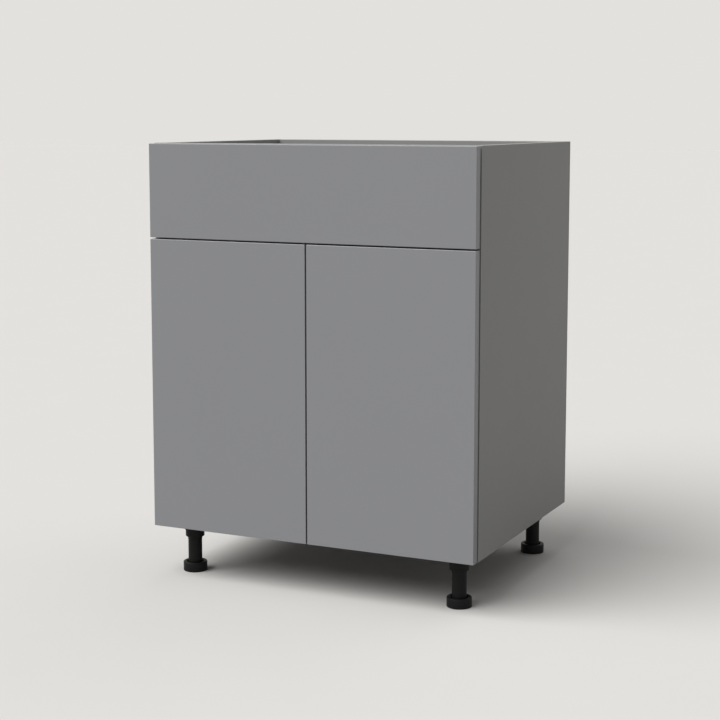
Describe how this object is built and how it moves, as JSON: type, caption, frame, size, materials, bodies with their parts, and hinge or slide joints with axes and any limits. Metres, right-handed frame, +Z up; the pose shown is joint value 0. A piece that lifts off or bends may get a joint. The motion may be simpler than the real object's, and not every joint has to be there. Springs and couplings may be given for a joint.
{
  "type": "kitchen base cabinet",
  "caption": "Floor-standing kitchen base cabinet with flat grey handleless fronts: a drawer above a pair of hinged doors, open top for a worktop, on black adjustable legs.",
  "frame": {"origin": "on the floor, under the middle of the cabinet's outline", "axes": "+X to the right seen from the front, +Y from the front to the wall, +Z up"},
  "size_m": [0.686, 0.533, 0.864],
  "materials": {
    "carcass_board": "matt grey foil on board",
    "back_board": "matt grey foil on thin board",
    "front_board": "satin grey lacquer on board",
    "drawer_board": "matt grey foil on board",
    "dowel_wood": "bare beech",
    "black_plastic": "matt black",
    "grey_plastic": "matt grey",
    "runner_steel": "zinc plated",
    "fastener_steel": "zinc plated",
    "hinge_steel": "nickel plated"
  },
  "bodies": {
    "carcass": {"side_panel_left": "carcass_board", "side_panel_right": "carcass_board", "bottom_panel": "carcass_board", "back_panel": "back_board", "rear_top_rail": "carcass_board", "front_top_rail": "carcass_board", "middle_rail": "carcass_board", "shelf": "carcass_board", "shelf_pegs": "fastener_steel", "cam_locks": "fastener_steel", "cam_bolts": "fastener_steel", "wood_dowels": "dowel_wood", "runner_rail_left": "runner_steel", "runner_rail_right": "runner_steel", "runner_rail_screws": "fastener_steel", "hinge_plates": "hinge_steel", "hinge_plate_screws": "fastener_steel", "hinge_arms_left": "hinge_steel", "hinge_arms_right": "hinge_steel", "hinge_arm_screws": "fastener_steel", "hinge_arm_pins": "hinge_steel", "latch_bodies": "grey_plastic", "latch_screws": "fastener_steel", "leg_sockets": "black_plastic", "leg_tubes": "black_plastic", "leg_screws": "fastener_steel"},
    "outer_links_left": {"hinge_outer_links_left": "hinge_steel"},
    "door_left": {"door_left": "front_board", "hinge_cups_left": "hinge_steel", "hinge_cup_pins_left": "hinge_steel", "hinge_cup_screws_left": "fastener_steel", "strike_plate_left": "hinge_steel"},
    "inner_links_left": {"hinge_inner_links_left": "hinge_steel"},
    "outer_links_right": {"hinge_outer_links_right": "hinge_steel"},
    "door_right": {"door_right": "front_board", "hinge_cups_right": "hinge_steel", "hinge_cup_pins_right": "hinge_steel", "hinge_cup_screws_right": "fastener_steel", "strike_plate_right": "hinge_steel"},
    "inner_links_right": {"hinge_inner_links_right": "hinge_steel"},
    "drawer": {"drawer_front": "front_board", "drawer_inner_front": "drawer_board", "drawer_side_left": "drawer_board", "drawer_side_right": "drawer_board", "drawer_back": "drawer_board", "drawer_bottom": "drawer_board", "drawer_dowels": "dowel_wood", "drawer_front_screws": "fastener_steel", "runner_slide_left": "runner_steel", "runner_slide_right": "runner_steel", "runner_slide_screws": "fastener_steel"},
    "runner_middles": {"runner_middle_left": "runner_steel", "runner_middle_right": "runner_steel", "runner_ball_cages": "runner_steel"},
    "foot_front_left": {"foot_front_left": "black_plastic"},
    "foot_front_right": {"foot_front_right": "black_plastic"},
    "foot_rear_left": {"foot_rear_left": "black_plastic"},
    "foot_rear_right": {"foot_rear_right": "black_plastic"},
    "latch_plunger_left": {"latch_plunger_left": "grey_plastic"},
    "latch_plunger_right": {"latch_plunger_right": "grey_plastic"}
  },
  "joints": [
    {"name": "outer_link_pivot_left", "type": "hinge", "parent": "carcass", "child": "outer_links_left", "pos_m": [-0.3092, -0.2526, 0.39], "axis": [0, 0, -1], "range_deg": [-25.66, 0]},
    {"name": "door_hinge_left", "type": "hinge", "parent": "outer_links_left", "child": "door_left", "pos_m": [-0.3287, -0.2555, 0.39], "axis": [0, 0, -1], "range_deg": [0, 120.65]},
    {"name": "inner_link_pivot_left", "type": "hinge", "parent": "carcass", "child": "inner_links_left", "pos_m": [-0.30555, -0.2416, 0.39], "axis": [0, 0, -1], "range_deg": [-37.6, 0]},
    {"name": "outer_link_pivot_right", "type": "hinge", "parent": "carcass", "child": "outer_links_right", "pos_m": [0.3092, -0.2526, 0.39], "axis": [0, 0, 1], "range_deg": [-25.66, 0]},
    {"name": "door_hinge_right", "type": "hinge", "parent": "outer_links_right", "child": "door_right", "pos_m": [0.3287, -0.2555, 0.39], "axis": [0, 0, 1], "range_deg": [0, 120.65]},
    {"name": "inner_link_pivot_right", "type": "hinge", "parent": "carcass", "child": "inner_links_right", "pos_m": [0.30555, -0.2416, 0.39], "axis": [0, 0, 1], "range_deg": [-37.6, 0]},
    {"name": "drawer_slide", "type": "slide", "parent": "carcass", "child": "drawer", "axis": [0, -1, 0], "range_m": [0, 0.4]},
    {"name": "runner_middle_slide", "type": "slide", "parent": "carcass", "child": "runner_middles", "axis": [0, -1, 0], "range_m": [0, 0.2]},
    {"name": "foot_screw_front_left", "type": "slide", "parent": "carcass", "child": "foot_front_left", "axis": [0, 0, -1], "range_m": [0, 0.025]},
    {"name": "foot_screw_front_right", "type": "slide", "parent": "carcass", "child": "foot_front_right", "axis": [0, 0, -1], "range_m": [0, 0.025]},
    {"name": "foot_screw_rear_left", "type": "slide", "parent": "carcass", "child": "foot_rear_left", "axis": [0, 0, -1], "range_m": [0, 0.025]},
    {"name": "foot_screw_rear_right", "type": "slide", "parent": "carcass", "child": "foot_rear_right", "axis": [0, 0, -1], "range_m": [0, 0.025]},
    {"name": "latch_push_left", "type": "slide", "parent": "carcass", "child": "latch_plunger_left", "axis": [0, 1, 0], "range_m": [0, 0.003], "stiffness_N_per_m": 400},
    {"name": "latch_push_right", "type": "slide", "parent": "carcass", "child": "latch_plunger_right", "axis": [0, 1, 0], "range_m": [0, 0.003], "stiffness_N_per_m": 400}
  ],
  "couplings": [
    {"joint": "outer_link_pivot_left", "follows": "door_hinge_left", "ratio": -0.2126},
    {"joint": "inner_link_pivot_left", "follows": "door_hinge_left", "ratio": -0.31157},
    {"joint": "outer_link_pivot_right", "follows": "door_hinge_right", "ratio": -0.2126},
    {"joint": "inner_link_pivot_right", "follows": "door_hinge_right", "ratio": -0.31157},
    {"joint": "runner_middle_slide", "follows": "drawer_slide", "ratio": 0.5}
  ]
}
